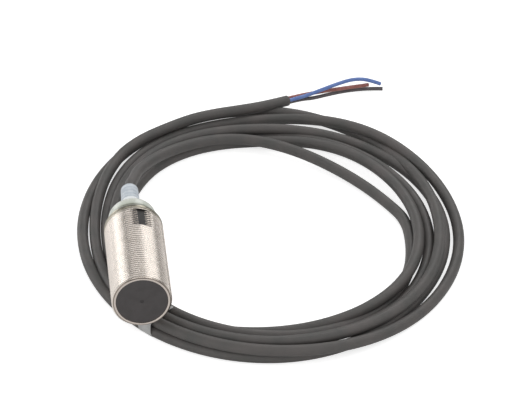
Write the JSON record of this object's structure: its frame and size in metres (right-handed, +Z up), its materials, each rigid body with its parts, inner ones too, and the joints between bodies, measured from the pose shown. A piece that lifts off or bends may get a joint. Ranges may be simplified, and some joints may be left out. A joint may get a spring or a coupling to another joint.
{
  "type": "proximity sensor",
  "caption": "Cylindrical flush inductive proximity sensor with a threaded metal barrel, dark sensing face, translucent end cap and a thin pre-wired cable lying in loose turns.",
  "frame": {"origin": "centre of the barrel's front rim plane, at the sensing face", "axes": "-Y out of the sensing face along the sensor's axis, +Y towards the cable, +Z up"},
  "size_m": [0.1204, 0.1511, 0.0259],
  "materials": {
    "barrel_nickel": "nickel-plated brass, satin, threaded",
    "face_plastic": "moulded PBT, matt",
    "shield_brass": "rolled brass strip",
    "ferrite": "sintered ferrite, matt",
    "bobbin_plastic": "moulded, matt",
    "copper": "enamelled copper wire",
    "holder_plastic": "moulded, matt",
    "board": "glass-fibre laminate with solder mask",
    "chip_body": "moulded epoxy",
    "tantalum": "moulded epoxy, yellow",
    "ceramic_chip": "fired ceramic",
    "lamp": "clear moulded lens",
    "solder": "tin alloy",
    "light_ring": "translucent moulded polyamide",
    "strain_relief": "translucent soft moulding",
    "cable_jacket": "extruded PVC, matt",
    "brown_core": "extruded PVC",
    "blue_core": "extruded PVC",
    "black_core": "extruded PVC",
    "resin": "cast resin",
    "tie": "light-grey tape, matt"
  },
  "bodies": {
    "root": {"barrel": "barrel_nickel", "face_cap": "face_plastic", "shield_band": "shield_brass", "ferrite_core": "ferrite", "coil_bobbin": "bobbin_plastic", "coil_winding": "copper", "coil_leads": "copper", "board_holder": "holder_plastic", "circuit_board": "board", "oscillator_chip": "chip_body", "output_transistor": "chip_body", "surge_diodes": "chip_body", "tantalum_capacitor": "tantalum", "chip_capacitors": "ceramic_chip", "chip_resistors": "ceramic_chip", "indicator_leds": "lamp", "solder_joints": "solder", "light_ring": "light_ring", "strain_relief": "strain_relief", "cable_inner": "cable_jacket", "brown_conductor": "brown_core", "blue_conductor": "blue_core", "black_conductor": "black_core", "potting_resin": "resin", "cable_lead": "cable_jacket", "cable_coil": "cable_jacket", "cable_end": "cable_jacket", "brown_core": "brown_core", "blue_core": "blue_core", "black_core": "black_core", "cable_tie": "tie"}
  },
  "joints": []
}
